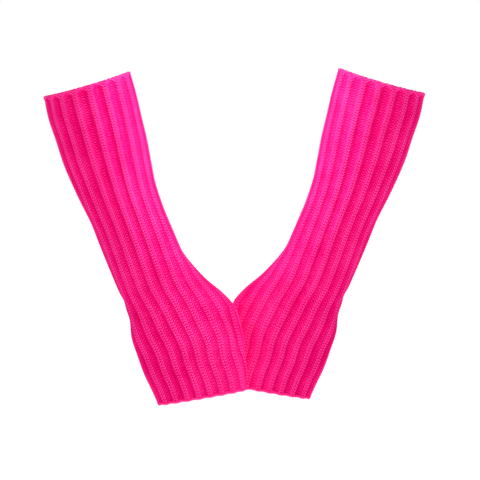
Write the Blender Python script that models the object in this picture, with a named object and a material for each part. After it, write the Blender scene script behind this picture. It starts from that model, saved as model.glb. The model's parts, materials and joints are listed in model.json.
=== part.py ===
"""Pair of ribbed knitted arm warmers in the form they have when worn.

Each warmer is one panel of 2x2 rib, closed to a tube by a seam along its thumb side. The
thumb opening is a stretch of that seam left unsewn. The tubes hang down and inwards from
the two forearm openings and cross at the hands, the right one in front of the left one.

The model is in metres with +Z up. The backs of the hands face -Y. The origin lies midway
between the centres of the two forearm openings. Sizes below are in millimetres, angles in
degrees, and shares of the way round a tube in fractions of one turn.
"""

import math
from collections import namedtuple

import bpy
import numpy as np

MILLIMETRE = 0.001

RIDGE_WALL = 3.0
VALLEY_WALL = 1.5
SEAM_GAP = 0.3

RIBS = 18
MIDDLE_RIB = 4
RIDGE_HALF = 0.20
VALLEY_START = 0.36
LITTLE_FINGER_VALLEY = -1.5
THUMB_VALLEY = 8.5

RIM_BAND = 1.6
RIM_SLOPE = 2.4
RIM_SAG = 1.5
RIM_SAG_LENGTH = 40.0
FOREARM_RING_STEP = 15.5
HAND_RING_STEP = 9.0
HAND_STARTS = 185.0

THUMB_OPENING_TOP = 230.0
THUMB_OPENING_LENGTH = 43.0
THUMB_FRONT_GAP = 7.5
THUMB_PALM_GAP = 12.0
THUMB_GAP_FULLNESS = 0.7
THUMB_PUSHED_RIBS = 2.0

BULGE_PLACE = 0.42
BULGE_SPREAD = 0.42

FOREARM_CENTRE_X = 132.6
HEIGHT_DIFFERENCE = 3.0

OUTLINE_STEPS = 360

# Each row is one section of a tube, from the forearm opening to the hand edge.
# out: distance of its centre from the plane midway between the warmers.
# drop: distance of its centre below the centre of the forearm opening.
# tilt: rise of the section towards the thumb side.
# squareness: 2 is an ellipse, more is flatter with fuller edges.
# rib_place: share of the way round at which the middle rib of the hand's back lies,
#     counted from the little-finger edge.
# rib_crowding: how much closer the ribs lie there than the average.
# layer: how far the section is moved forwards or back to lie clear of the other warmer.
# thumb_bulge: fullness over the base of the thumb, on the palm side.
Section = namedtuple(
    "Section",
    "out drop tilt half_width half_depth squareness rib_place rib_crowding layer thumb_bulge",
)
SECTIONS = (
    Section(132.6, 0.0, 16.3, 40.8, 37.5, 2.00, 0.3205, -0.05, 0.0, 0.0),
    Section(127.6, 20.4, 15.7, 41.6, 37.5, 2.00, 0.3195, -0.05, 0.2, 0.0),
    Section(122.0, 40.0, 16.4, 40.6, 36.5, 2.00, 0.3180, -0.05, 0.6, 0.0),
    Section(116.1, 60.5, 17.1, 39.8, 35.0, 2.00, 0.3145, -0.04, 1.4, 0.0),
    Section(109.6, 81.2, 18.2, 37.4, 33.0, 2.00, 0.3110, -0.03, 2.6, 0.0),
    Section(102.9, 101.0, 19.6, 34.9, 30.5, 2.00, 0.3090, -0.04, 4.2, 0.0),
    Section(94.8, 121.0, 19.0, 33.8, 28.5, 2.00, 0.3060, -0.04, 6.2, 0.0),
    Section(85.8, 141.9, 17.7, 34.0, 27.0, 2.00, 0.3000, -0.06, 8.6, 0.0),
    Section(77.0, 162.2, 16.7, 34.5, 26.0, 2.05, 0.2925, -0.07, 11.0, 0.2),
    Section(65.1, 181.1, 15.0, 38.2, 24.0, 2.10, 0.2680, -0.02, 13.2, 1.2),
    Section(52.9, 197.7, 16.2, 43.6, 22.0, 2.20, 0.2545, 0.06, 13.8, 2.6),
    Section(45.0, 214.4, 15.9, 49.3, 20.5, 2.30, 0.2560, 0.12, 14.4, 3.2),
    Section(38.1, 232.0, 13.9, 50.5, 19.5, 2.30, 0.2615, 0.14, 14.5, 2.8),
    Section(35.5, 250.0, 12.7, 47.0, 18.5, 2.35, 0.2715, 0.12, 14.5, 1.8),
    Section(31.5, 265.7, 10.6, 44.2, 18.0, 2.40, 0.2820, 0.08, 14.5, 0.8),
    Section(28.5, 280.8, 9.8, 40.8, 17.5, 2.40, 0.2900, 0.04, 14.5, 0.0),
)

YARN_COLOUR = (0.905, 0.015, 0.235, 1.0)
YARN_ROUGHNESS = 0.9


def distances_along():
    """Distance of each section from the forearm opening, along the tube's middle."""
    distances = [0.0]
    for upper, lower in zip(SECTIONS, SECTIONS[1:]):
        step = math.hypot(lower.out - upper.out, lower.drop - upper.drop)
        distances.append(distances[-1] + step)
    return distances


ALONG = distances_along()
TUBE_LENGTH = ALONG[-1]


def smooth_value(column, place):
    """Value of one column at a distance along, on a smooth curve through its rows."""
    last = len(ALONG) - 1
    row = max(i for i in range(last) if ALONG[i] <= place or i == 0)
    step = ALONG[row + 1] - ALONG[row]
    share = (place - ALONG[row]) / step

    def slope(i):
        before = max(i - 1, 0)
        after = min(i + 1, last)
        return (column[after] - column[before]) / (ALONG[after] - ALONG[before])

    rise = column[row + 1] - column[row]
    start = slope(row) * step
    end = slope(row + 1) * step
    square = (3.0 * rise - 2.0 * start - end) * share ** 2
    cube = (start + end - 2.0 * rise) * share ** 3
    return column[row] + start * share + square + cube


def section_at(place):
    """Section of the tube at a distance along its middle."""
    return Section(*(smooth_value(column, place) for column in zip(*SECTIONS)))


def outline(section):
    """Outer outline of a section in its own plane, over the tops of the ribs.

    It starts at the little-finger edge and runs over the back of the hand first. The
    result has the distance round, the two coordinates and the unit normal that points in.
    """
    angle = np.linspace(0.0, 2.0 * math.pi, OUTLINE_STEPS + 1)
    power = 2.0 / section.squareness
    cosine = np.cos(angle)
    sine = np.sin(angle)
    width_share = -np.sign(cosine) * np.abs(cosine) ** power
    depth_share = -np.sign(sine) * np.abs(sine) ** power
    fullness = np.exp(-((width_share - BULGE_PLACE) / BULGE_SPREAD) ** 2) * np.clip(-sine, 0.0, 1.0)
    across = section.half_width * width_share
    through = section.half_depth * depth_share + section.thumb_bulge * fullness
    ahead_across = np.append(across[1:], across[1])
    ahead_through = np.append(through[1:], through[1])
    behind_across = np.insert(across[:-1], 0, across[-2])
    behind_through = np.insert(through[:-1], 0, through[-2])
    run_across = ahead_across - behind_across
    run_through = ahead_through - behind_through
    run = np.hypot(run_across, run_through)
    steps = np.hypot(np.diff(across), np.diff(through))
    round_distance = np.insert(np.cumsum(steps), 0, 0.0)
    return round_distance, across, through, -run_through / run, run_across / run


def thumb_gap(place):
    """Opened share of the thumb opening's width at a distance along, from 0 to 1."""
    share = (place - THUMB_OPENING_TOP) / THUMB_OPENING_LENGTH
    if share <= 0.0 or share >= 1.0:
        return 0.0
    return math.sin(math.pi * share) ** THUMB_GAP_FULLNESS


def rib_share(section, rib):
    """Share of the way round at which a rib number lies, before the thumb opens the seam."""
    turn = (rib - MIDDLE_RIB) / RIBS
    return section.rib_place + turn - section.rib_crowding * math.sin(2 * math.pi * turn) / (2 * math.pi)


def ease(share):
    """Smooth step from 0 to 1."""
    share = min(max(share, 0.0), 1.0)
    return share * share * (3.0 - 2.0 * share)


def lip_shift(rib, place, over_palm):
    """How far round the thumb pushes a rib number away from the unsewn seam."""
    lip = THUMB_PALM_GAP if over_palm else -THUMB_FRONT_GAP
    nearness = ease(1.0 - abs(rib - THUMB_VALLEY) / THUMB_PUSHED_RIBS)
    return lip * nearness * thumb_gap(place)


def valley_depth(place):
    """Depth of the valleys between ribs: none at the forearm rim, full just below it."""
    return (RIDGE_WALL - VALLEY_WALL) * ease((place - RIM_BAND) / RIM_SLOPE)


def outer_profile(first_valley, last_valley):
    """Rib numbers across the outer face, each with whether it lies in a valley."""
    profile = [(first_valley, True)]
    first_rib = int(first_valley + 0.5)
    last_rib = int(last_valley - 0.5)
    for rib in range(first_rib, last_rib + 1):
        profile.append((rib - VALLEY_START, True))
        profile.append((rib - RIDGE_HALF, False))
        profile.append((rib + RIDGE_HALF, False))
        profile.append((rib + VALLEY_START, True))
    profile.append((last_valley, True))
    return profile


def inner_profile(first_valley, last_valley):
    """Rib numbers across the plain inner face, two to a rib, from last to first."""
    count = round((last_valley - first_valley) * 2)
    return [last_valley - 0.5 * step for step in range(count + 1)]


def ring(place, first_valley, last_valley, side):
    """Closed loop of points round the wall of a half tube at a distance along it."""
    section = section_at(place)
    round_distance, across, through, in_across, in_through = outline(section)
    total = round_distance[-1]
    depth = valley_depth(place)
    lean = math.radians(section.tilt)
    sag = RIM_SAG * (1.0 - ease(place / RIM_SAG_LENGTH))
    over_palm = first_valley == THUMB_VALLEY
    profile = [(rib, depth if valley else 0.0) for rib, valley in outer_profile(first_valley, last_valley)]
    profile += [(rib, RIDGE_WALL) for rib in inner_profile(first_valley, last_valley)]
    points = []
    for rib, inset in profile:
        distance = rib_share(section, rib) * total + lip_shift(rib, place, over_palm)
        if rib == first_valley:
            distance += SEAM_GAP / 2
        if rib == last_valley:
            distance -= SEAM_GAP / 2
        distance %= total
        point_across = np.interp(distance, round_distance, across)
        point_across += inset * np.interp(distance, round_distance, in_across)
        point_through = np.interp(distance, round_distance, through)
        point_through += inset * np.interp(distance, round_distance, in_through)
        dip = sag * (1.0 - (point_across / section.half_width) ** 2)
        points.append((
            side * (section.out - FOREARM_CENTRE_X - point_across * math.cos(lean)) * MILLIMETRE,
            (point_through + side * section.layer) * MILLIMETRE,
            (point_across * math.sin(lean) - section.drop - dip) * MILLIMETRE,
        ))
    return points


def ring_places():
    """Distances along at which the walls have a ring of points."""
    opening_end = THUMB_OPENING_TOP + THUMB_OPENING_LENGTH
    stretches = (
        (RIM_BAND + RIM_SLOPE, HAND_STARTS, FOREARM_RING_STEP),
        (HAND_STARTS, THUMB_OPENING_TOP, HAND_RING_STEP),
        (THUMB_OPENING_TOP, opening_end, HAND_RING_STEP),
        (opening_end, TUBE_LENGTH, HAND_RING_STEP),
    )
    places = [0.0, RIM_BAND]
    for start, end, step in stretches:
        count = max(round((end - start) / step), 1)
        places += [start + (end - start) * i / count for i in range(count)]
    places.append(TUBE_LENGTH)
    return places


def half_tube(name, side, first_valley, last_valley, holder, material):
    """One half of a warmer's tube as a closed wall. side is -1 for the right arm, 1 for the left."""
    rings = [ring(place, first_valley, last_valley, side) for place in ring_places()]
    size = len(rings[0])
    vertices = [point for points in rings for point in points]
    faces = [tuple(range(size)), tuple(reversed(range(len(vertices) - size, len(vertices))))]
    for row in range(len(rings) - 1):
        for i in range(size):
            j = (i + 1) % size
            upper = row * size
            lower = upper + size
            faces.append((upper + j, upper + i, lower + i, lower + j))
    if side > 0:
        faces = [tuple(reversed(face)) for face in faces]
    mesh = bpy.data.meshes.new(name)
    mesh.from_pydata(vertices, [], faces)
    mesh.materials.append(material)
    mesh.validate()
    body = bpy.data.objects.new(name, mesh)
    bpy.context.scene.collection.objects.link(body)
    body.parent = holder
    return body


def warmer(name, side, material):
    """One warmer: the half over the back of the hand and the half over the palm."""
    holder = bpy.data.objects.new(name, None)
    bpy.context.scene.collection.objects.link(holder)
    holder.location = (
        side * FOREARM_CENTRE_X * MILLIMETRE,
        0.0,
        side * HEIGHT_DIFFERENCE / 2 * MILLIMETRE,
    )
    once_round = LITTLE_FINGER_VALLEY + RIBS
    half_tube(name + "_back", side, LITTLE_FINGER_VALLEY, THUMB_VALLEY, holder, material)
    half_tube(name + "_palm", side, THUMB_VALLEY, once_round, holder, material)


def yarn_material():
    """Hot pink knitting yarn."""
    material = bpy.data.materials.new("pink_rib_knit")
    material.use_nodes = True
    shader = material.node_tree.nodes["Principled BSDF"]
    shader.inputs["Base Color"].default_value = YARN_COLOUR
    shader.inputs["Roughness"].default_value = YARN_ROUGHNESS
    shader.inputs["Metallic"].default_value = 0.0
    material.diffuse_color = YARN_COLOUR
    return material


def main():
    for old in list(bpy.data.objects):
        bpy.data.objects.remove(old, do_unlink=True)
    material = yarn_material()
    warmer("right_warmer", -1, material)
    warmer("left_warmer", 1, material)


main()
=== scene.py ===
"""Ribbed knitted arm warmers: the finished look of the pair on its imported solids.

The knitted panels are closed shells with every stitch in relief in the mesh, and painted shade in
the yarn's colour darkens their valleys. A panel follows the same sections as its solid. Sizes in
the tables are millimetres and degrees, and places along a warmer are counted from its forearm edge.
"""

import json
import math
from collections import namedtuple

import bmesh
import bpy
import numpy as np
from bpy.props import FloatProperty, FloatVectorProperty, PointerProperty
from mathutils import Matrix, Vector

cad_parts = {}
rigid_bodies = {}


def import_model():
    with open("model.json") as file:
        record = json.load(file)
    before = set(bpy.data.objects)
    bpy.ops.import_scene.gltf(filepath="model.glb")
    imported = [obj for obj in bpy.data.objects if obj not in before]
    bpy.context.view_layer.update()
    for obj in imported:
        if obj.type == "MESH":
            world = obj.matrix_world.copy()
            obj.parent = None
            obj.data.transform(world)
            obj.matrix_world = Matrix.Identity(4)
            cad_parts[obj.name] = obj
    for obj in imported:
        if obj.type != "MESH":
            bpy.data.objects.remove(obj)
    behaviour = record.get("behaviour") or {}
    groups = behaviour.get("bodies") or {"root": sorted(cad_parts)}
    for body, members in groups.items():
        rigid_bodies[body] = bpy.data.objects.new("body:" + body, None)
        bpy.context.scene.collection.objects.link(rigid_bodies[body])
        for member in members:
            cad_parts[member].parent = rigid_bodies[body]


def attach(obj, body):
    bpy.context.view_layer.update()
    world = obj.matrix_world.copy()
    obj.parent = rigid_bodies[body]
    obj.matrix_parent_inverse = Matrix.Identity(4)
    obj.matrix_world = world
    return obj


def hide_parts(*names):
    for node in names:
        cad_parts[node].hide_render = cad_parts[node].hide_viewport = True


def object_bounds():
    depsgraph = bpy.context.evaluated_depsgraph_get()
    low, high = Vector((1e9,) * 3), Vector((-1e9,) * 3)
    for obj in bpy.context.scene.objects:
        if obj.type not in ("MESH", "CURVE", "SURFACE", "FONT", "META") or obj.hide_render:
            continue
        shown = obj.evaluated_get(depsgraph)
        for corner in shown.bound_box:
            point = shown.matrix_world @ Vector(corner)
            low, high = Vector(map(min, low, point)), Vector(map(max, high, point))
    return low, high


bl_info = {
    "name": "Knitted Arm Warmers",
    "version": (1, 0, 0),
    "blender": (4, 5, 0),
    "location": "View3D > Sidebar > Arm Warmers",
    "description": "Knits, edges and sews a pair of ribbed arm warmers, and sets up the stage",
    "category": "Object",
}

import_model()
solid_bounds = [[float(value) for value in corner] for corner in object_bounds()]

MILLIMETRE = 0.001
MILLIMETRES_IN_METRE = 1000.0
BODY = "root"

# The form, as the solids have it
RIBS = 18
MIDDLE_RIB = 4
LITTLE_FINGER_VALLEY = -1.5
THUMB_VALLEY = 8.5
WALL = 3.0
HEIGHT_DIFFERENCE = 3.0
RIM_SAG = 1.5
RIM_SAG_LENGTH = 40.0
THUMB_OPENING_TOP = 230.0
THUMB_OPENING_LENGTH = 43.0
THUMB_FRONT_GAP = 7.5
THUMB_PALM_GAP = 12.0
THUMB_GAP_FULLNESS = 0.7
THUMB_PUSHED_RIBS = 2.0
BULGE_PLACE = 0.42
BULGE_SPREAD = 0.42
OUTLINE_STEPS = 360

# Each row is one section of a tube, from the forearm opening to the hand edge.
# rib_half is half the width of a knit rib, as a share of the distance from rib to rib.
Section = namedtuple(
    "Section",
    "out drop tilt half_width half_depth squareness rib_place rib_crowding layer thumb_bulge rib_half",
)
SECTIONS = (
    Section(132.6, 0.0, 16.3, 40.8, 37.5, 2.00, 0.3205, -0.05, 0.0, 0.0, 0.170),
    Section(127.6, 20.4, 15.7, 41.6, 37.5, 2.00, 0.3195, -0.05, 0.2, 0.0, 0.175),
    Section(122.0, 40.0, 16.4, 40.6, 36.5, 2.00, 0.3180, -0.05, 0.6, 0.0, 0.185),
    Section(116.1, 60.5, 17.1, 39.8, 35.0, 2.00, 0.3145, -0.04, 1.4, 0.0, 0.190),
    Section(109.6, 81.2, 18.2, 37.4, 33.0, 2.00, 0.3110, -0.03, 2.6, 0.0, 0.200),
    Section(102.9, 101.0, 19.6, 34.9, 30.5, 2.00, 0.3090, -0.04, 4.2, 0.0, 0.205),
    Section(94.8, 121.0, 19.0, 33.8, 28.5, 2.00, 0.3060, -0.04, 6.2, 0.0, 0.210),
    Section(85.8, 141.9, 17.7, 34.0, 27.0, 2.00, 0.3000, -0.06, 8.6, 0.0, 0.215),
    Section(77.0, 162.2, 16.7, 34.5, 26.0, 2.05, 0.2925, -0.07, 11.0, 0.2, 0.220),
    Section(65.1, 181.1, 15.0, 38.2, 24.0, 2.10, 0.2680, -0.02, 13.2, 1.2, 0.230),
    Section(52.9, 197.7, 16.2, 43.6, 22.0, 2.20, 0.2545, 0.06, 13.8, 2.6, 0.240),
    Section(45.0, 214.4, 15.9, 49.3, 20.5, 2.30, 0.2560, 0.12, 14.4, 3.2, 0.250),
    Section(38.1, 232.0, 13.9, 50.5, 19.5, 2.30, 0.2615, 0.14, 14.5, 2.8, 0.250),
    Section(35.5, 250.0, 12.7, 47.0, 18.5, 2.35, 0.2715, 0.12, 14.5, 1.8, 0.250),
    Section(31.5, 265.7, 10.6, 44.2, 18.0, 2.40, 0.2820, 0.08, 14.5, 0.8, 0.250),
    Section(28.5, 280.8, 9.8, 40.8, 17.5, 2.40, 0.2900, 0.04, 14.5, 0.0, 0.245),
)

# The soft creases of the worn cloth. A crease runs from its middle at its lean, 0 round the
# tube and 90 along it. Its half length and half width are in mm, and a depth below zero is
# a ridge.
Crease = namedtuple("Crease", "place rib lean half_length half_width depth")
CREASES = (
    Crease(201.0, -0.6, 38.0, 16.0, 5.0, 1.3),
    Crease(212.0, -0.2, 52.0, 20.0, 6.0, -0.6),
    Crease(188.0, 0.4, 58.0, 22.0, 7.0, 0.5),
    Crease(246.0, 7.4, 84.0, 30.0, 3.2, 1.5),
    Crease(266.0, 7.0, 80.0, 20.0, 4.0, 0.5),
    Crease(150.0, 7.5, 70.0, 24.0, 7.0, 0.6),
    Crease(118.0, -1.0, 66.0, 26.0, 7.0, 0.7),
    Crease(70.0, 0.2, 75.0, 30.0, 8.0, 0.4),
    Crease(186.0, 12.5, 8.0, 24.0, 5.0, 1.2),
    Crease(197.0, 13.2, 14.0, 20.0, 5.5, -0.7),
    Crease(206.0, 11.6, 4.0, 26.0, 4.5, 1.0),
    Crease(168.0, 14.0, 22.0, 17.0, 6.0, 0.7),
    Crease(96.0, 12.0, 62.0, 28.0, 8.0, 0.6),
    Crease(52.0, 14.6, 74.0, 24.0, 8.0, 0.5),
)

# The knitted grid: stitches in one rib, half the width of its knit stitches as a share of the rib,
# # courses along a tube, and mesh steps to a stitch
SIDES = (("right", -1), ("left", 1))
HALVES = (
    ("back", LITTLE_FINGER_VALLEY, THUMB_VALLEY),
    ("palm", THUMB_VALLEY, LITTLE_FINGER_VALLEY + RIBS),
)
STITCHES_IN_RIB = 4
KNIT_HALF = 0.25
COURSES = 118
STEPS_ROUND = 4
STEPS_ALONG = 4
INNER_STEPS_IN_RIB = 8
RIM_ROUND_PLACES = (0.15, 0.35)
HEM_LENGTH = 3.0

# A stitch's relief, the same in the mesh and in the yarn's pattern. Heights run from 0 to 1,
# and a wave is how far a height swings from course to course.
LEG_HEIGHT = 0.7
LEG_WAVE = 0.3
GROOVE_HEIGHT = 0.45
GROOVE_WAVE = 0.2
BORDER_DEPTH = 0.38
BORDER_WAVE = 0.22
PURL_EVEN = 0.33
PURL_STAGGER = 0.67

# Where the worn cloth is pulled flat, and where painted shade darkens the yarn toward the hand, along
# the
# # fold by the thumb seam and in the narrow valleys on the little-finger side, in ribs round a tube and
# mm along it
FLAT_RIB = 6.5
FLAT_REACH = 4.5
FLAT_EASE = 4.0
WRIST_START = 110.0
WRIST_LENGTH = 90.0
HAND_SHADE_START = 150.0
HAND_SHADE_LENGTH = 60.0
SEAM_FOLD_SHADE_REACH = 1.3
LITTLE_FINGER_SHADE_REACH = 4.0
LITTLE_FINGER_SHADE_EASE = 3.0

# The edge loops, thumb edges and seam stitches. A thickness is a share of the yarn's, an inset
# is in mm below the rib tops, and a seam's reach is in ribs.
EDGE_PLACE = 0.8
CAST_ON_INSET = 1.2
CAST_ON_THICKNESS = 0.65
BOUND_OFF_INSET = 0.9
BOUND_OFF_THICKNESS = 0.85
LOOP_OVERLAP = 1.25
LOOP_LENGTH = 3.3
THUMB_EDGE_INSET = 1.9
THUMB_EDGE_RADIUS = 0.85
THUMB_EDGE_PLACES = 58
SEAM_RADIUS = 0.36
SEAM_REACH = 0.085
SEAM_INSET = 1.0
SEAM_DIP = 0.9
TWIST_LENGTH = 7.0
SIDES_OF_PLY = 5

# The yarn's colour. The stitch pattern's brightness is its height dimmed by the painted shade of the
# # valleys, plus fibre noise; above one brightness it turns to a painted highlight and below another to
# # painted shade, and noise scales are waves to a metre.
FIBRE_SCALE = 1400.0
PATCH_SCALE = 45.0
PATCH_CONTRAST = 0.3
RAISED_SHADE = 0.55
VALLEY_SHADE = 0.57
HIGHLIGHT_ABOVE = 0.53
HIGHLIGHT_RATE = 2.2
SHADE_BELOW = 0.49
SHADE_RATE = 6.0

# The picture and its lights, in metres
PICTURE_SIZE = 480
PICTURE_CENTRE = (0.0051, 0.0, -0.1418)
FLOOR_SIZE = 12.0
FLOOR_DROP = 0.22
KEY_SIZE = 0.35
KEY_SPREAD = math.radians(46.0)
FRONT_SIZE = 0.8


class KnitSettings(bpy.types.PropertyGroup):
    """Sizes of the rib and its stitches."""

    rib_depth: FloatProperty(
        name="Rib depth", description="Depth of the valleys between the ribs",
        default=0.002, min=0.0, max=0.0024, precision=4, unit="LENGTH",
    )
    # It sets the painted shade of a valley the same way as its depth.
    valley_lean: FloatProperty(
        name="Valley lean", description="How much shallower a valley is on its side away from the thumb",
        default=0.58, min=0.0, max=1.0, subtype="FACTOR",
    )
    # It also lightens the painted shade of these valleys.
    flat_valleys: FloatProperty(
        name="Flat valleys",
        description="Depth of the stretched valleys near the thumb side, as a share of the rest",
        default=0.64, min=0.0, max=1.0, subtype="FACTOR",
    )
    # Painted shade only: the mesh keeps these valleys as they are.
    little_finger_valley_shade: FloatProperty(
        name="Tight valleys",
        description="How much darker the narrow valleys on the little-finger side are",
        default=0.25, min=0.0, max=1.0, subtype="FACTOR",
    )
    rib_side: FloatProperty(
        name="Rib side", description="Width of a rib's side slope, as a share of the rib distance",
        default=0.085, min=0.03, max=0.2, subtype="FACTOR",
    )
    rib_rounding: FloatProperty(
        name="Rib rounding", description="Fall of a rib's face from its middle to its side",
        default=0.00045, min=0.0, max=0.001, precision=5, unit="LENGTH",
    )
    knit_relief: FloatProperty(
        name="Knit relief", description="Height of the legs of a knit stitch",
        default=0.0006, min=0.0, max=0.001, precision=5, unit="LENGTH",
    )
    knit_slant: FloatProperty(
        name="Knit slant", description="Rise of a leg across half a stitch, in courses",
        default=0.68, min=0.0, max=1.5, subtype="FACTOR",
    )
    purl_relief: FloatProperty(
        name="Purl relief", description="Height of the bumps of a purl stitch",
        default=0.00065, min=0.0, max=0.001, precision=5, unit="LENGTH",
    )
    rim_band: FloatProperty(
        name="Rim band", description="Height of the smooth band at the forearm edge",
        default=0.0014, min=0.0, max=0.01, precision=4, unit="LENGTH",
    )
    rim_arch: FloatProperty(
        name="Rim arch", description="Height of the arches in which the valleys end below the band",
        default=0.0034, min=0.0, max=0.01, precision=4, unit="LENGTH",
    )
    edge_rounding: FloatProperty(
        name="Edge rounding", description="Radius of the rounded forearm and hand edges",
        default=0.0011, min=0.0, max=0.0015, precision=4, unit="LENGTH",
    )
    hem_scallop: FloatProperty(
        name="Hem scallop", description="How far the ribs reach past the valleys at the hand edge",
        default=0.0004, min=0.0, max=0.003, precision=4, unit="LENGTH",
    )


class YarnSettings(bpy.types.PropertyGroup):
    """Colours and finish of the yarn."""

    colour: FloatVectorProperty(
        name="Yarn colour", description="Colour on the ribs", subtype="COLOR",
        size=3, min=0.0, max=1.0, default=(0.98, 0.0003, 0.215),
    )
    # Painted shade in the gaps between stitches and in the valleys of the knitted panels, and the dark
    # fibres of a single strand's random tone.
    painted_shade_and_fibre_colour: FloatVectorProperty(
        name="Deep colour", description="Colour in the gaps between stitches", subtype="COLOR",
        size=3, min=0.0, max=1.0, default=(0.56, 0.0, 0.075),
    )
    # Painted highlight on the lit stitch tops of the knitted panels, and the light fibres of the random
    # fibre tone.
    painted_highlight_and_fibre_colour: FloatVectorProperty(
        name="Light colour", description="Colour of the raised and fluffy fibres", subtype="COLOR",
        size=3, min=0.0, max=1.0, default=(1.0, 0.118, 0.55),
    )
    # Painted glow: red light that the yarn gives off of its own, which lifts the red in its shaded
    # valleys.
    painted_glow_colour: FloatVectorProperty(
        name="Glow colour", description="Light that the fluorescent dye adds of its own",
        subtype="COLOR", size=3, min=0.0, max=1.0, default=(0.19, 0.0, 0.028),
    )
    twist_height: FloatProperty(
        name="Twist height", description="Height of the twist of the yarn's plies",
        default=0.00012, min=0.0, max=0.0005, precision=5, unit="LENGTH",
    )
    thickness: FloatProperty(
        name="Yarn thickness", description="Thickness of the yarn that sews and edges the panels",
        default=0.0013, min=0.0005, max=0.003, precision=4, unit="LENGTH",
    )


class StageSettings(bpy.types.PropertyGroup):
    """Camera and studio light."""

    camera_distance: FloatProperty(
        name="Camera distance", description="Distance from the camera to the pair",
        default=3.5, min=0.5, max=20.0, unit="LENGTH",
    )
    camera_elevation: FloatProperty(
        name="Camera elevation", description="Angle of the camera above level",
        default=math.radians(3.0), min=0.0, max=1.0, unit="ROTATION",
    )
    pixel_size: FloatProperty(
        name="Pixel size", description="Width of one picture pixel at the pair, at 480 pixels wide",
        default=0.0009, min=0.0001, max=0.01, precision=5, unit="LENGTH",
    )
    key_power: FloatProperty(
        name="Key power", description="Power of the soft light across each warmer",
        default=0.82, min=0.0, max=100.0, unit="POWER",
    )
    front_power: FloatProperty(
        name="Front power", description="Power of the soft light in front of the pair",
        default=2.5, min=0.0, max=100.0, unit="POWER",
    )
    sky_strength: FloatProperty(
        name="Sky strength", description="Strength of the even white light all round",
        default=0.4, min=0.0, max=5.0,
    )
    floor_glow: FloatProperty(
        name="Floor glow", description="Light that the floor gives off, which keeps it white",
        default=0.7, min=0.0, max=5.0,
    )


def distances_along():
    """Distance of each section from the forearm opening, along the tube's middle."""
    distances = [0.0]
    for upper, lower in zip(SECTIONS, SECTIONS[1:]):
        step = math.hypot(lower.out - upper.out, lower.drop - upper.drop)
        distances.append(distances[-1] + step)
    return distances


ALONG = distances_along()
TUBE_LENGTH = ALONG[-1]
COURSE_HEIGHT = TUBE_LENGTH / COURSES


def smooth_value(column, place):
    """Value of one column at a distance along, on a smooth curve through its rows."""
    last = len(ALONG) - 1
    row = max(i for i in range(last) if ALONG[i] <= place or i == 0)
    step = ALONG[row + 1] - ALONG[row]
    share = (place - ALONG[row]) / step

    def slope(i):
        before = max(i - 1, 0)
        after = min(i + 1, last)
        return (column[after] - column[before]) / (ALONG[after] - ALONG[before])

    rise = column[row + 1] - column[row]
    start = slope(row) * step
    end = slope(row + 1) * step
    square = (3.0 * rise - 2.0 * start - end) * share ** 2
    cube = (start + end - 2.0 * rise) * share ** 3
    return column[row] + start * share + square + cube


def section_at(place):
    """Section of the tube at a distance along its middle."""
    return Section(*(smooth_value(column, place) for column in zip(*SECTIONS)))


def outline(section):
    """Outline over the tops of the ribs: distance round, two coordinates, inward normal."""
    angle = np.linspace(0.0, 2.0 * math.pi, OUTLINE_STEPS + 1)
    power = 2.0 / section.squareness
    cosine = np.cos(angle)
    sine = np.sin(angle)
    width_share = -np.sign(cosine) * np.abs(cosine) ** power
    depth_share = -np.sign(sine) * np.abs(sine) ** power
    fullness = np.exp(-((width_share - BULGE_PLACE) / BULGE_SPREAD) ** 2) * np.clip(-sine, 0.0, 1.0)
    across = section.half_width * width_share
    through = section.half_depth * depth_share + section.thumb_bulge * fullness
    run_across = np.append(across[1:], across[1]) - np.insert(across[:-1], 0, across[-2])
    run_through = np.append(through[1:], through[1]) - np.insert(through[:-1], 0, through[-2])
    run = np.hypot(run_across, run_through)
    steps = np.hypot(np.diff(across), np.diff(through))
    round_distance = np.insert(np.cumsum(steps), 0, 0.0)
    return round_distance, across, through, -run_through / run, run_across / run


def ease(share):
    """Smooth step from 0 to 1."""
    share = np.clip(share, 0.0, 1.0)
    return share * share * (3.0 - 2.0 * share)


def thumb_gap(place):
    """Opened share of the thumb opening's width at a distance along, from 0 to 1."""
    share = (place - THUMB_OPENING_TOP) / THUMB_OPENING_LENGTH
    if share <= 0.0 or share >= 1.0:
        return 0.0
    return math.sin(math.pi * share) ** THUMB_GAP_FULLNESS


def rib_position(stitch_rib, rib_half):
    """Where a stitch lies between the ribs, once the knit ribs have drawn in to rib_half."""
    rib = np.floor(stitch_rib + 0.5)
    part = stitch_rib - rib
    size = np.abs(part)
    on_rib = size / KNIT_HALF * rib_half
    in_valley = rib_half + (size - KNIT_HALF) / KNIT_HALF * (0.5 - rib_half)
    return rib + np.sign(part) * np.where(size <= KNIT_HALF, on_rib, in_valley)


def crease_depth(rib, place, rib_distance):
    """Depth of the creases at points round one row of the cloth, in mm."""
    depth = np.zeros_like(rib)
    for crease in CREASES:
        for turn in (-RIBS, 0, RIBS):
            beside = (rib - crease.rib - turn) * rib_distance
            below = place - crease.place
            lean = math.radians(crease.lean)
            lengthwise = beside * math.cos(lean) + below * math.sin(lean)
            sideways = below * math.cos(lean) - beside * math.sin(lean)
            depth += crease.depth * np.exp(
                -(lengthwise / crease.half_length) ** 2 - (sideways / crease.half_width) ** 2
            )
    return depth


def place_round(section, rib, place, over_palm, total):
    """Distance round the outline of rib positions, with the thumb opening's lips apart."""
    turn = (rib - MIDDLE_RIB) / RIBS
    share = section.rib_place + turn
    share = share - section.rib_crowding * np.sin(2 * math.pi * turn) / (2 * math.pi)
    lip = THUMB_PALM_GAP if over_palm else -THUMB_FRONT_GAP
    nearness = ease(1.0 - np.abs(rib - THUMB_VALLEY) / THUMB_PUSHED_RIBS)
    return (share * total + lip * nearness * thumb_gap(place)) % total


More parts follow.
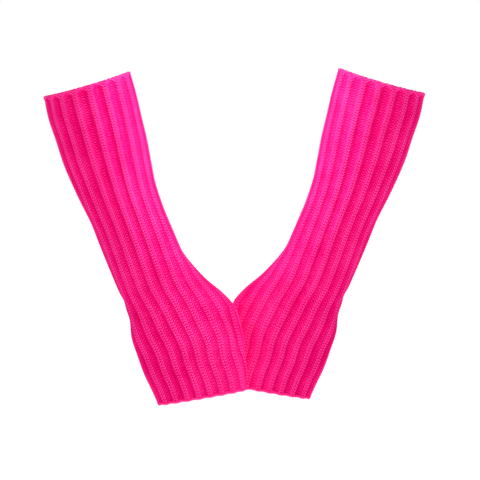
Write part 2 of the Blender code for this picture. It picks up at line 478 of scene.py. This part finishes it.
def points_on_row(place, rib, inset, dip, over_palm, side):
    """Points of one row of a half tube, in metres, at rib positions and depths below the ribs."""
    section = section_at(place)
    round_distance, across, through, in_across, in_through = outline(section)
    total = round_distance[-1]
    inset = inset + crease_depth(rib, place, total / RIBS)
    distance = place_round(section, rib, place, over_palm, total)
    point_across = np.interp(distance, round_distance, across)
    point_across += inset * np.interp(distance, round_distance, in_across)
    point_through = np.interp(distance, round_distance, through)
    point_through += inset * np.interp(distance, round_distance, in_through)
    lean = math.radians(section.tilt)
    sag = RIM_SAG * (1.0 - ease(place / RIM_SAG_LENGTH))
    sag = sag * (1.0 - (point_across / section.half_width) ** 2)
    height = point_across * math.sin(lean) - section.drop - sag - dip
    return np.stack((
        side * (section.out - point_across * math.cos(lean)),
        point_through + side * section.layer,
        height + side * HEIGHT_DIFFERENCE / 2,
    ), axis=1) * MILLIMETRE


def hem_dip(place, rib):
    """How far the ribs reach past the valleys near the hand edge, in mm."""
    scallop = bpy.context.scene.arm_warmer_knit.hem_scallop / MILLIMETRE
    return (1.0 - ease((TUBE_LENGTH - place) / HEM_LENGTH)) * scallop * np.cos(2 * math.pi * rib)


def edge_fall(place, radius):
    """Fall of the rounded forearm and hand edges at a distance along."""
    near = min(place, TUBE_LENGTH - place)
    if near >= radius:
        return 0.0
    return radius - math.sqrt(radius ** 2 - (radius - near) ** 2)


def stitch_heights(knit, place, stitch_rib):
    """Heights that a knit and a purl stitch would have at points of one row, from 0 to 1."""
    stitch = (stitch_rib * STITCHES_IN_RIB) % 1.0
    course = place / COURSE_HEIGHT
    leg = 0.5 - 0.5 * np.cos(4 * math.pi * stitch)
    spread = np.abs(2 * stitch - 1)
    row = np.cos(2 * math.pi * (course + knit.knit_slant * spread))
    on_leg = leg * (LEG_HEIGHT + LEG_WAVE * row)
    between = (1.0 - leg) * (GROOVE_HEIGHT + GROOVE_WAVE * row)
    border = spread ** 3 * (BORDER_DEPTH - BORDER_WAVE * row)
    knit_height = np.clip(on_leg + between - border, 0.0, 1.0)
    stagger = PURL_EVEN + PURL_STAGGER * np.cos(2 * math.pi * stitch)
    purl_height = np.clip(0.56 + 0.54 * np.sin(2 * math.pi * course) * stagger, 0.0, 1.0)
    return knit_height, purl_height


def valley_shares(knit, place, stitch_rib, drawn, rib_half):
    """Valley depth share and painted light at points of one row, from 0 to 1; painted shade lowers the
    light in the valleys.
    """
    across_rib = np.abs(drawn - np.floor(stitch_rib + 0.5))
    toward_thumb = np.clip((drawn - np.floor(drawn) - rib_half) / (1.0 - 2.0 * rib_half), 0.0, 1.0)
    side = ease((across_rib - 0.72 * rib_half) / knit.rib_side)
    valley_middle = (0.5 - across_rib) / (0.5 - rib_half)
    band = knit.rim_band * MILLIMETRES_IN_METRE
    arch = knit.rim_arch * MILLIMETRES_IN_METRE
    opened = ease(place - band - arch * valley_middle ** 2)
    lean = knit.valley_lean
    shaded = side * opened * (1.0 - lean + lean * toward_thumb)
    near_thumb = ease((FLAT_REACH - np.abs(stitch_rib - FLAT_RIB)) / FLAT_EASE)
    past_forearm = ease((place - WRIST_START) / WRIST_LENGTH)
    flattened = 1.0 - (1.0 - knit.flat_valleys) * (near_thumb + 0.5 * past_forearm)
    # Painted shade: the narrow valleys on the little-finger side are painted darker.
    from_first = stitch_rib - LITTLE_FINGER_VALLEY
    from_little_finger = np.minimum(from_first, RIBS - from_first)
    little_finger_shade = 1.0 + knit.little_finger_valley_shade * ease((LITTLE_FINGER_SHADE_REACH - from_little_finger) / LITTLE_FINGER_SHADE_EASE)
    # Painted shade: darker toward the hand, and most along the fold by the thumb seam.
    seam_fold_shade = ease(1.0 - np.abs(stitch_rib - THUMB_VALLEY) / SEAM_FOLD_SHADE_REACH)
    stretched_and_shaded = ease((place - HAND_SHADE_START) / HAND_SHADE_LENGTH) * (0.12 + 0.3 * seam_fold_shade)
    # Painted light: 1 on the rib tops, lowered by painted shade in the valleys, most on a valley's side
    # toward the thumb and less where the valleys are flat.
    raised = 1.0 - shaded * (0.4 + 0.6 * flattened) * little_finger_shade - stretched_and_shaded
    return shaded * flattened, raised


def stitch_relief(knit, place, stitch_rib, rib_half):
    """Depth of the cloth's face below the rib tops in mm, and its painted light, lower where painted
    shade falls in the valleys.
    """
    rib = np.floor(stitch_rib + 0.5)
    drawn = rib_position(stitch_rib, rib_half)
    valley, raised = valley_shares(knit, place, stitch_rib, drawn, rib_half)
    knit_height, purl_height = stitch_heights(knit, place, stitch_rib)
    is_purl = ease((np.abs(stitch_rib - rib) - 0.22) / 0.06)
    in_band = 1.0 - ease((place - knit.rim_band * MILLIMETRES_IN_METRE) / 1.2)
    knit_fall = knit.knit_relief * (1.0 - knit_height) * (1.0 - 0.5 * in_band)
    purl_fall = knit.purl_relief * (1.0 - purl_height) * (1.0 - 0.8 * in_band)
    rounding = knit.rib_rounding * (np.abs(drawn - rib) / rib_half) ** 2
    fall = knit.rib_depth * valley + (1.0 - is_purl) * (rounding + knit_fall) + is_purl * purl_fall
    return fall * MILLIMETRES_IN_METRE, raised


def zip_strip(upper, upper_places, lower, lower_places):
    """Triangles between two chains of vertices that run side by side."""
    i = 0
    j = 0
    triangles = []
    while i < len(upper) - 1 or j < len(lower) - 1:
        upper_next = upper_places[i + 1] if i < len(upper) - 1 else math.inf
        lower_next = lower_places[j + 1] if j < len(lower) - 1 else math.inf
        if upper_next <= lower_next:
            triangles.append((upper[i], upper[i + 1], lower[j]))
            i += 1
        else:
            triangles.append((upper[i], lower[j + 1], lower[j]))
            j += 1
    return triangles


def grid_quads(rows, columns, first):
    """Quads of a grid of vertices numbered row by row from first."""
    number = first + np.arange(rows * columns).reshape(rows, columns)
    corners = (number[:-1, 1:], number[:-1, :-1], number[1:, :-1], number[1:, 1:])
    return np.stack([corner.ravel() for corner in corners], axis=1), number


def panel_mesh(knit, side, first_valley, last_valley):
    """Vertices, faces, stitch coordinates, painted light shares and borders of one closed half tube."""
    over_palm = first_valley == THUMB_VALLEY
    ribs = last_valley - first_valley
    outer_rib = np.linspace(first_valley, last_valley, round(ribs * STITCHES_IN_RIB * STEPS_ROUND) + 1)
    inner_rib = np.linspace(first_valley, last_valley, round(ribs * INNER_STEPS_IN_RIB) + 1)
    steps = np.linspace(0.0, TUBE_LENGTH, COURSES * STEPS_ALONG + 1)
    ends = [RIM_ROUND_PLACES, [TUBE_LENGTH - place for place in RIM_ROUND_PLACES]]
    outer_places = np.sort(np.concatenate([steps, *ends]))
    inner_places = np.linspace(0.0, TUBE_LENGTH, COURSES + 1)
    radius = knit.edge_rounding * MILLIMETRES_IN_METRE
    vertices = []
    stitches = []
    raised = []

    def add_row(place, rib, rib_half, inset, row_painted_light):
        drawn = rib_position(rib, rib_half)
        vertices.append(points_on_row(place, drawn, inset, hem_dip(place, rib), over_palm, side))
        stitches.append(np.stack((rib * STITCHES_IN_RIB, np.full_like(rib, place / COURSE_HEIGHT)), 1))
        raised.append(row_painted_light)

    for place in outer_places:
        rib_half = section_at(place).rib_half
        fall, row_painted_light = stitch_relief(knit, place, outer_rib, rib_half)
        add_row(place, outer_rib, rib_half, np.maximum(fall, edge_fall(place, radius)), row_painted_light)
    for place in inner_places:
        rib_half = section_at(place).rib_half
        inset = np.full_like(inner_rib, WALL - 0.5 * edge_fall(place, radius))
        # Painted shade: the inside of the tube gets half the light.
        add_row(place, inner_rib, rib_half, inset, np.full_like(inner_rib, 0.5))
    outer_faces, outer = grid_quads(len(outer_places), len(outer_rib), 0)
    inner_faces, inner = grid_quads(len(inner_places), len(inner_rib), outer.size)
    strips = []
    strips += zip_strip(outer[0], outer_rib, inner[0], inner_rib)
    strips += [face[::-1] for face in zip_strip(outer[-1], outer_rib, inner[-1], inner_rib)]
    strips += [face[::-1] for face in zip_strip(outer[:, 0], outer_places, inner[:, 0], inner_places)]
    strips += zip_strip(outer[:, -1], outer_places, inner[:, -1], inner_places)
    faces = outer_faces.tolist() + inner_faces[:, ::-1].tolist() + strips
    if side < 0:
        faces = [tuple(reversed(face)) for face in faces]
    borders = [outer[:, 0], outer[:, -1], inner[:, 0], inner[:, -1]]
    return np.concatenate(vertices), faces, np.concatenate(stitches), np.concatenate(raised), borders


def cloth_frame(place, rib, inset, over_palm, side):
    """Point in a half tube's wall, with unit directions outward, round and toward the hand."""
    step = -0.5 if place > 0.5 * TUBE_LENGTH else 0.5
    ribs = np.array([rib, rib + 0.02, rib])
    insets = np.array([inset, inset, inset + 1.0])
    dip = hem_dip(place, ribs)
    here, beside, deeper = points_on_row(place, ribs, insets, dip, over_palm, side)
    further = points_on_row(place + step, ribs, insets, dip, over_palm, side)[0]
    outward = (here - deeper) / np.linalg.norm(here - deeper)
    along = (further - here) * math.copysign(1.0, step)
    along -= outward * np.dot(along, outward)
    around = beside - here
    around -= outward * np.dot(around, outward)
    return here, outward, around / np.linalg.norm(around), along / np.linalg.norm(along)


def cord_mesh(paths, radius, plies, closed):
    """Vertices and faces of twisted cords along paths of (point, outward) pairs."""
    sides = SIDES_OF_PLY * plies
    vertices = []
    faces = []
    for path in paths:
        first = len(vertices)
        count = len(path)
        points = np.array([step[0] for step in path])
        travelled = 0.0
        for i, (point, outward) in enumerate(path):
            before = points[i - 1] if closed or i > 0 else points[0]
            after = points[(i + 1) % count] if closed or i < count - 1 else points[-1]
            tangent = (after - before) / np.linalg.norm(after - before)
            travelled += np.linalg.norm(point - before) if i > 0 else 0.0
            across = np.cross(tangent, outward)
            across /= np.linalg.norm(across)
            upward = np.cross(across, tangent)
            end = min(i, count - 1 - i)
            taper = 1.0 if closed or end > 0 else 0.6
            turn = travelled / (radius * TWIST_LENGTH) * 2 * math.pi
            for k in range(sides):
                angle = 2 * math.pi * k / sides
                lobe = 0.78 + 0.22 * math.cos(plies * (angle - turn)) if plies > 1 else 1.0
                offset = across * math.cos(angle) + upward * math.sin(angle)
                vertices.append(point + offset * radius * lobe * taper)
        rings = count if closed else count - 1
        for i in range(rings):
            ring = first + i * sides
            following = first + (i + 1) % count * sides
            for k in range(sides):
                beside = (k + 1) % sides
                faces.append((ring + k, ring + beside, following + beside, following + k))
        if not closed:
            faces.append(tuple(first + k for k in reversed(range(sides))))
            faces.append(tuple(first + (count - 1) * sides + k for k in range(sides)))
    return vertices, faces


def mesh_piece(name, vertices, faces, material):
    """A smooth piece from vertices and faces, turned right side out."""
    mesh = bpy.data.meshes.new(name)
    mesh.from_pydata([tuple(vertex) for vertex in vertices], [], faces)
    mesh.shade_smooth()
    shell = bmesh.new()
    shell.from_mesh(mesh)
    bmesh.ops.recalc_face_normals(shell, faces=shell.faces)
    shell.to_mesh(mesh)
    shell.free()
    return new_piece(name, mesh, material)


def loop_shape(thickness):
    """Vertices and faces of one loop of yarn, a flattened ring."""
    bpy.ops.object.select_all(action="DESELECT")
    bpy.ops.mesh.primitive_torus_add(
        major_segments=10, minor_segments=5,
        major_radius=thickness * 1.15, minor_radius=thickness / 2,
    )
    loop = bpy.context.active_object
    bpy.ops.object.mode_set(mode="EDIT")
    bpy.ops.mesh.select_all(action="SELECT")
    bpy.ops.transform.resize(value=(1.0, 0.8, 1.0))
    bpy.ops.object.mode_set(mode="OBJECT")
    vertices = np.array([vertex.co[:] for vertex in loop.data.vertices])
    faces = [tuple(face.vertices) for face in loop.data.polygons]
    bpy.data.objects.remove(loop)
    return vertices, faces


def edge_chain(name, side, place, inset, thickness, material):
    """A chain of yarn loops round one open end of a warmer, one loop to each stitch."""
    shape, shape_faces = loop_shape(thickness)
    at_hand = place > 0.5 * TUBE_LENGTH
    rib_half = section_at(place).rib_half
    stitches = RIBS * STITCHES_IN_RIB
    edges = LITTLE_FINGER_VALLEY + np.arange(stitches + 1) / STITCHES_IN_RIB
    drawn = rib_position(edges, rib_half)
    vertices = []
    faces = []
    for i in range(stitches):
        over_palm = edges[i] >= THUMB_VALLEY
        middle = 0.5 * (drawn[i] + drawn[i + 1])
        here, outward, around, along = cloth_frame(place, middle, inset, over_palm, side)
        start, end = points_on_row(place, drawn[i:i + 2], np.full(2, inset), 0.0, over_palm, side)
        stretch = np.linalg.norm(end - start) * LOOP_OVERLAP / (thickness * LOOP_LENGTH)
        facing = outward + along * (0.7 if at_hand else -0.7)
        facing /= np.linalg.norm(facing)
        long = around + 0.5 * np.cross(facing, around)
        long /= np.linalg.norm(long)
        wide = np.cross(facing, long)
        first = len(vertices)
        local = shape * np.array([stretch, 1.0, 1.0])
        vertices.extend(here + local[:, :1] * long + local[:, 1:2] * wide + local[:, 2:] * facing)
        faces.extend(tuple(first + k for k in face) for face in shape_faces)
    return mesh_piece(name, vertices, faces, material)


def new_piece(name, mesh, material):
    """Adds a finished piece that rides on the body and has the yarn's finish."""
    mesh.materials.append(material)
    piece = bpy.data.objects.new(name, mesh)
    bpy.context.scene.collection.objects.link(piece)
    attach(piece, BODY)
    return piece


def knitted_panel(name, side, first_valley, last_valley, material):
    """One knitted half tube, with stitch coordinates for its yarn."""
    knit = bpy.context.scene.arm_warmer_knit
    vertices, faces, stitches, raised, borders = panel_mesh(knit, side, first_valley, last_valley)
    mesh = bpy.data.meshes.new(name)
    mesh.from_pydata(vertices.tolist(), [], faces)
    corners = np.empty(len(mesh.loops), dtype=np.int32)
    mesh.loops.foreach_get("vertex_index", corners)
    uv_map = mesh.uv_layers.new(name="stitches")
    uv_map.data.foreach_set("uv", stitches[corners].astype(np.float32).ravel())
    # The painted light, whose painted shade darkens the valleys in the yarn's colour.
    share = mesh.attributes.new("raised", "FLOAT", "POINT")
    share.data.foreach_set("value", raised.astype(np.float32))
    mesh.shade_smooth()
    on_border = np.zeros(len(vertices), dtype=bool)
    for border in borders:
        on_border[border] = True
    ends = np.empty(len(mesh.edges) * 2, dtype=np.int32)
    mesh.edges.foreach_get("vertices", ends)
    ends = ends.reshape(-1, 2)
    sharp = mesh.attributes.new("sharp_edge", "BOOLEAN", "EDGE")
    sharp.data.foreach_set("value", on_border[ends].all(axis=1))
    return new_piece(name, mesh, material)


def math_node(nodes, links, operation, first, second=None):
    """Adds a Math node whose inputs are sockets or numbers, and gives its output."""
    node = nodes.new("ShaderNodeMath")
    node.operation = operation
    for socket, value in zip(node.inputs, (first, second)):
        if value is None:
            continue
        if isinstance(value, (int, float)):
            socket.default_value = value
        else:
            links.new(value, socket)
    return node.outputs[0]


def stitch_group():
    """Node group that draws the yarn of knit and purl stitches from the stitch coordinates."""
    group = bpy.data.node_groups.new("stitch_yarn", "ShaderNodeTree")
    face = group.interface
    face.new_socket("Stitch", in_out="INPUT", socket_type="NodeSocketVector")
    face.new_socket("Slant", in_out="INPUT", socket_type="NodeSocketFloat")
    face.new_socket("Height", in_out="OUTPUT", socket_type="NodeSocketFloat")
    face.new_socket("Twist", in_out="OUTPUT", socket_type="NodeSocketFloat")
    nodes = group.nodes
    links = group.links
    given = nodes.new("NodeGroupInput")
    result = nodes.new("NodeGroupOutput")
    parts = nodes.new("ShaderNodeSeparateXYZ")
    links.new(given.outputs["Stitch"], parts.inputs[0])

    def calc(operation, first, second=None):
        return math_node(nodes, links, operation, first, second)

    wale = parts.outputs["X"]
    course = parts.outputs["Y"]
    turn = 2 * math.pi
    stitch = calc("FRACT", wale)
    spread = calc("ABSOLUTE", calc("SUBTRACT", calc("MULTIPLY", stitch, 2.0), 1.0))
    leg_wave = calc("COSINE", calc("MULTIPLY", stitch, 2 * turn))
    leg = calc("SUBTRACT", 0.5, calc("MULTIPLY", leg_wave, 0.5))
    slanted = calc("ADD", course, calc("MULTIPLY", spread, given.outputs["Slant"]))
    row = calc("COSINE", calc("MULTIPLY", slanted, turn))
    on_leg = calc("MULTIPLY", leg, calc("ADD", calc("MULTIPLY", row, LEG_WAVE), LEG_HEIGHT))
    groove = calc("ADD", calc("MULTIPLY", row, GROOVE_WAVE), GROOVE_HEIGHT)
    between = calc("MULTIPLY", calc("SUBTRACT", 1.0, leg), groove)
    border = calc("SUBTRACT", BORDER_DEPTH, calc("MULTIPLY", row, BORDER_WAVE))
    border = calc("MULTIPLY", calc("POWER", spread, 3.0), border)
    knit_height = calc("MAXIMUM", calc("SUBTRACT", calc("ADD", on_leg, between), border), 0.0)
    stagger = calc("COSINE", calc("MULTIPLY", stitch, turn))
    stagger = calc("ADD", calc("MULTIPLY", stagger, PURL_STAGGER), PURL_EVEN)
    bars = calc("MULTIPLY", stagger, calc("SINE", calc("MULTIPLY", course, turn)))
    purl_height = calc("MINIMUM", calc("ADD", calc("MULTIPLY", bars, 0.85), 0.58), 0.84)
    in_rib = calc("PINGPONG", calc("ADD", wale, 2.0), 2.0)
    is_purl = calc("LESS_THAN", in_rib, 1.0)
    on_knit = calc("MULTIPLY", knit_height, calc("SUBTRACT", 1.0, is_purl))
    height = calc("ADD", on_knit, calc("MULTIPLY", purl_height, is_purl))
    plies = calc("ADD", calc("MULTIPLY", slanted, 3.0), calc("MULTIPLY", spread, 2.5))
    twist = calc("SINE", calc("MULTIPLY", plies, turn))
    twist = calc("MULTIPLY", twist, calc("MULTIPLY", height, 0.22))
    links.new(height, result.inputs["Height"])
    links.new(twist, result.inputs["Twist"])
    return group


def yarn_material(name, knitted):
    """Hot pink yarn with a painted red glow. A knitted surface draws its stitches with painted highlight
    and painted shade, and a single strand its twist.
    """
    yarn = bpy.context.scene.arm_warmer_yarn
    knit = bpy.context.scene.arm_warmer_knit
    material = bpy.data.materials.new(name)
    material.use_nodes = True
    nodes = material.node_tree.nodes
    links = material.node_tree.links
    shader = nodes["Principled BSDF"]
    shader.inputs["Roughness"].default_value = 0.85
    shader.inputs["Specular IOR Level"].default_value = 0.015
    # Painted glow: the yarn gives off red light of its own.
    shader.inputs["Emission Color"].default_value = (*yarn.painted_glow_colour, 1.0)
    shader.inputs["Emission Strength"].default_value = 1.0
    shader.inputs["Sheen Weight"].default_value = 0.03
    shader.inputs["Sheen Roughness"].default_value = 0.45
    shader.inputs["Sheen Tint"].default_value = (1.0, 0.35, 0.62, 1.0)
    position = nodes.new("ShaderNodeTexCoord")
    fibre = nodes.new("ShaderNodeTexNoise")
    fibre.inputs["Scale"].default_value = FIBRE_SCALE
    fibre.inputs["Detail"].default_value = 3.0
    links.new(position.outputs["Object"], fibre.inputs["Vector"])
    patch = nodes.new("ShaderNodeTexNoise")
    patch.inputs["Scale"].default_value = PATCH_SCALE
    patch.inputs["Detail"].default_value = 2.0
    links.new(position.outputs["Object"], patch.inputs["Vector"])

    def mixed(first, second, amount):
        mix = nodes.new("ShaderNodeMix")
        mix.data_type = "RGBA"
        for socket, value in ((mix.inputs[6], first), (mix.inputs[7], second)):
            if isinstance(value, tuple):
                socket.default_value = value
            else:
                links.new(value, socket)
        links.new(amount, mix.inputs[0])
        return mix.outputs[2]

    def calc(operation, first, second=None):
        return math_node(nodes, links, operation, first, second)

    middle = (*yarn.colour, 1.0)
    painted_shade_and_fibre = (*yarn.painted_shade_and_fibre_colour, 1.0)
    light = (*yarn.painted_highlight_and_fibre_colour, 1.0)
    speckle = calc("SUBTRACT", fibre.outputs["Fac"], 0.5)
    drift = calc("MULTIPLY", calc("SUBTRACT", patch.outputs["Fac"], 0.5), PATCH_CONTRAST)
    bump = nodes.new("ShaderNodeBump")
    bump.inputs["Distance"].default_value = yarn.twist_height
    bump.inputs["Strength"].default_value = 1.0
    if knitted:
        uv_map = nodes.new("ShaderNodeUVMap")
        uv_map.uv_map = "stitches"
        stitch = nodes.new("ShaderNodeGroup")
        stitch.node_tree = bpy.data.node_groups.get("stitch_yarn") or stitch_group()
        stitch.inputs["Slant"].default_value = knit.knit_slant
        links.new(uv_map.outputs["UV"], stitch.inputs["Stitch"])
        # Painted shade: the painted light attribute dims the stitch pattern's brightness in the valleys.
        raised = nodes.new("ShaderNodeAttribute")
        raised.attribute_name = "raised"
        shade = calc("ADD", calc("MULTIPLY", raised.outputs["Fac"], RAISED_SHADE), VALLEY_SHADE)
        brightness = calc("MULTIPLY", stitch.outputs["Height"], shade)
        brightness = calc("ADD", brightness, calc("ADD", speckle, drift))
        # Painted highlight where the brightness is high, on lit stitch tops, and painted shade where it
        # is low, in the gaps and valleys.
        painted_highlight_and_speckle = calc("MULTIPLY", calc("SUBTRACT", brightness, HIGHLIGHT_ABOVE), HIGHLIGHT_RATE)
        painted_shade_and_speckle = calc("MULTIPLY", calc("SUBTRACT", SHADE_BELOW, brightness), SHADE_RATE)
        rough = calc("MULTIPLY", fibre.outputs["Fac"], 0.8)
        yarn_height = calc("ADD", stitch.outputs["Height"], stitch.outputs["Twist"])
        links.new(calc("ADD", yarn_height, rough), bump.inputs["Height"])
    else:
        painted_highlight_and_speckle = calc("ADD", calc("MULTIPLY", speckle, 1.2), 0.35)
        painted_shade_and_speckle = calc("SUBTRACT", 0.0, speckle)
        links.new(fibre.outputs["Fac"], bump.inputs["Height"])
    painted_highlight_and_speckle = calc("MINIMUM", calc("MAXIMUM", painted_highlight_and_speckle, 0.0), 1.0)
    painted_shade_and_speckle = calc("MINIMUM", calc("MAXIMUM", painted_shade_and_speckle, 0.0), 1.0)
    colour = mixed(mixed(middle, light, painted_highlight_and_speckle), painted_shade_and_fibre, painted_shade_and_speckle)
    links.new(colour, shader.inputs["Base Color"])
    links.new(bump.outputs["Normal"], shader.inputs["Normal"])
    return material


def strand_material():
    """The finish of a single strand of the yarn, made once."""
    return bpy.data.materials.get("strand_yarn") or yarn_material("strand_yarn", False)


def disk_light(name, size, power, start, target):
    """A soft round light at one point, aimed at another."""
    lamp = bpy.data.lights.new(name, "AREA")
    lamp.shape = "DISK"
    lamp.size = size
    lamp.energy = power
    light = bpy.data.objects.new(name, lamp)
    light.location = start
    light.rotation_euler = (target - start).to_track_quat("-Z", "Y").to_euler()
    bpy.context.scene.collection.objects.link(light)
    return light


class KNIT_OT_panels(bpy.types.Operator):
    """Knits the back and palm panels of both warmers"""

    bl_idname = "arm_warmer.knit_panels"
    bl_label = "Knit Panels"

    def execute(self, context):
        material = yarn_material("rib_knit_yarn", True)
        for arm, side in SIDES:
            for half, first_valley, last_valley in HALVES:
                panel = knitted_panel(f"{arm}_{half}_knit", side, first_valley, last_valley, material)
                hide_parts(f"{arm}_warmer_{half}")
        return {"FINISHED"}


class KNIT_OT_edges(bpy.types.Operator):
    """Binds the forearm and hand edges with a chain of yarn loops"""

    bl_idname = "arm_warmer.bind_edges"
    bl_label = "Bind Edges"

    def execute(self, context):
        thickness = context.scene.arm_warmer_yarn.thickness
        material = strand_material()
        for arm, side in SIDES:
            edge_chain(
                f"{arm}_cast_on_edge", side, EDGE_PLACE, CAST_ON_INSET,
                thickness * CAST_ON_THICKNESS, material,
            )
            edge_chain(
                f"{arm}_bound_off_edge", side, TUBE_LENGTH - EDGE_PLACE, BOUND_OFF_INSET,
                thickness * BOUND_OFF_THICKNESS, material,
            )
        return {"FINISHED"}


class KNIT_OT_thumb_openings(bpy.types.Operator):
    """Edges both thumb openings with a twisted cord"""

    bl_idname = "arm_warmer.edge_thumb_openings"
    bl_label = "Edge Thumb Openings"

    def execute(self, context):
        material = strand_material()
        radius = context.scene.arm_warmer_yarn.thickness * THUMB_EDGE_RADIUS
        shares = np.linspace(0.01, 0.99, THUMB_EDGE_PLACES)
        places = THUMB_OPENING_TOP + THUMB_OPENING_LENGTH * shares
        for arm, side in SIDES:
            path = []
            for over_palm, lip in ((False, places), (True, places[::-1])):
                for place in lip:
                    step = cloth_frame(place, THUMB_VALLEY, THUMB_EDGE_INSET, over_palm, side)
                    path.append(step[:2])
            vertices, faces = cord_mesh([path], radius, 2, True)
            mesh_piece(f"{arm}_thumb_edge", vertices, faces, material)
        return {"FINISHED"}


class KNIT_OT_side_seams(bpy.types.Operator):
    """Sews each tube together along its thumb side, above and below the thumb opening"""

    bl_idname = "arm_warmer.sew_side_seams"
    bl_label = "Sew Side Seams"

    def execute(self, context):
        material = strand_material()
        radius = context.scene.arm_warmer_yarn.thickness * SEAM_RADIUS
        for arm, side in SIDES:
            stitches = []
            for course in range(2, COURSES - 1):
                place = (course + 0.5) * COURSE_HEIGHT
                if thumb_gap(place) > 0.0 or thumb_gap(place + COURSE_HEIGHT) > 0.0:
                    continue
                stitch = []
                for share in (-1.0, -0.5, 0.0, 0.5, 1.0):
                    rib = THUMB_VALLEY + SEAM_REACH * share
                    inset = SEAM_INSET + SEAM_DIP * share ** 2
                    step = cloth_frame(place + 0.5 * share, rib, inset, share > 0.0, side)
                    stitch.append(step[:2])
                stitches.append(stitch)
            vertices, faces = cord_mesh(stitches, radius, 1, False)
            mesh_piece(f"{arm}_side_seam", vertices, faces, material)
        return {"FINISHED"}


class KNIT_OT_cut(bpy.types.Operator):
    """Looks up the edge loops, thumb edge and side seam of each warmer"""

    bl_idname = "arm_warmer.state_cut"
    bl_label = "State Cut"

    def execute(self, context):
        pieces = bpy.data.objects
        for arm, _ in SIDES:
            edges = [pieces[f"{arm}_cast_on_edge"], pieces[f"{arm}_bound_off_edge"]]
            edges += [pieces[f"{arm}_thumb_edge"], pieces[f"{arm}_side_seam"]]
        return {"FINISHED"}


class KNIT_OT_stage(bpy.types.Operator):
    """Sets up the camera, the pale floor and the soft studio light"""

    bl_idname = "arm_warmer.stage"
    bl_label = "Stage"

    def execute(self, context):
        scene = context.scene
        stage = scene.arm_warmer_stage
        back = Vector((0.0, -math.cos(stage.camera_elevation), math.sin(stage.camera_elevation)))
        data = bpy.data.cameras.new("camera")
        data.lens = data.sensor_width * stage.camera_distance / (stage.pixel_size * PICTURE_SIZE)
        data.clip_end = 50.0
        camera = bpy.data.objects.new("camera", data)
        scene.collection.objects.link(camera)
        camera.location = Vector(PICTURE_CENTRE) + back * stage.camera_distance
        camera.rotation_euler = (-back).to_track_quat("-Z", "Y").to_euler()
        scene.camera = camera

        bpy.ops.object.select_all(action="DESELECT")
        floor_height = solid_bounds[0][2] - FLOOR_DROP
        bpy.ops.mesh.primitive_plane_add(size=FLOOR_SIZE, location=(0.0, 2.0, floor_height))
        floor = context.active_object
        floor.name = "pale_floor"
        paint = bpy.data.materials.new("pale_floor")
        paint.use_nodes = True
        finish = paint.node_tree.nodes["Principled BSDF"]
        finish.inputs["Base Color"].default_value = (0.9, 0.9, 0.9, 1.0)
        finish.inputs["Roughness"].default_value = 0.9
        finish.inputs["Emission Color"].default_value = (1.0, 1.0, 1.0, 1.0)
        finish.inputs["Emission Strength"].default_value = stage.floor_glow
        floor.data.materials.append(paint)

        for arm, side in SIDES:
            start = Vector((-side * 0.85, -0.3, 0.35))
            target = Vector((side * 0.12, 0.0, 0.0))
            key_light = disk_light(f"{arm}_key", KEY_SIZE, stage.key_power, start, target)
            key_light.data.spread = KEY_SPREAD
            lit = bpy.data.collections.new(f"{arm}_warmer_pieces")
            for piece in scene.objects:
                if piece.type == "MESH" and piece.name.startswith(arm):
                    lit.objects.link(piece)
            key_light.light_linking.receiver_collection = lit
            key_light.light_linking.blocker_collection = lit

        start = Vector((0.0, -1.1, 0.45))
        target = Vector((0.0, 0.0, -0.14))
        front_light = disk_light("front", FRONT_SIZE, stage.front_power, start, target)
        front_light.visible_camera = False

        world = bpy.data.worlds.new("studio")
        scene.world = world
        world.use_nodes = True
        nodes = world.node_tree.nodes
        links = world.node_tree.links
        sky = nodes["Background"]
        sky.inputs["Color"].default_value = (1.0, 1.0, 1.0, 1.0)
        sky.inputs["Strength"].default_value = stage.sky_strength
        backdrop = nodes.new("ShaderNodeBackground")
        backdrop.inputs["Color"].default_value = (1.0, 1.0, 1.0, 1.0)
        backdrop.inputs["Strength"].default_value = 1.0
        seen = nodes.new("ShaderNodeLightPath")
        chosen = nodes.new("ShaderNodeMixShader")
        links.new(seen.outputs["Is Camera Ray"], chosen.inputs[0])
        links.new(sky.outputs[0], chosen.inputs[1])
        links.new(backdrop.outputs[0], chosen.inputs[2])
        links.new(chosen.outputs[0], nodes["World Output"].inputs["Surface"])
        scene.view_settings.view_transform = "Standard"
        return {"FINISHED"}


class KNIT_PT_arm_warmers(bpy.types.Panel):
    """Sizes, colours and steps of the pair of arm warmers"""

    bl_label = "Arm Warmers"
    bl_idname = "KNIT_PT_arm_warmers"
    bl_space_type = "VIEW_3D"
    bl_region_type = "UI"
    bl_category = "Arm Warmers"

    def draw(self, context):
        scene = context.scene
        groups = (scene.arm_warmer_knit, scene.arm_warmer_yarn, scene.arm_warmer_stage)
        for settings in groups:
            box = self.layout.box()
            for name in settings.__annotations__:
                box.prop(settings, name)
        for step in STEPS:
            self.layout.operator(step.bl_idname)


STEPS = (
    KNIT_OT_panels, KNIT_OT_edges, KNIT_OT_thumb_openings,
    KNIT_OT_side_seams, KNIT_OT_cut, KNIT_OT_stage,
)
CLASSES = (KnitSettings, YarnSettings, StageSettings, *STEPS, KNIT_PT_arm_warmers)


def register():
    for cls in CLASSES:
        bpy.utils.register_class(cls)
    bpy.types.Scene.arm_warmer_knit = PointerProperty(type=KnitSettings)
    bpy.types.Scene.arm_warmer_yarn = PointerProperty(type=YarnSettings)
    bpy.types.Scene.arm_warmer_stage = PointerProperty(type=StageSettings)


def unregister():
    del bpy.types.Scene.arm_warmer_knit
    del bpy.types.Scene.arm_warmer_yarn
    del bpy.types.Scene.arm_warmer_stage
    for cls in reversed(CLASSES):
        bpy.utils.unregister_class(cls)


def main():
    register()
    bpy.ops.arm_warmer.knit_panels()
    bpy.ops.arm_warmer.bind_edges()
    bpy.ops.arm_warmer.edge_thumb_openings()
    bpy.ops.arm_warmer.sew_side_seams()
    bpy.ops.arm_warmer.state_cut()
    bpy.ops.arm_warmer.stage()


if __name__ == "__main__":
    main()
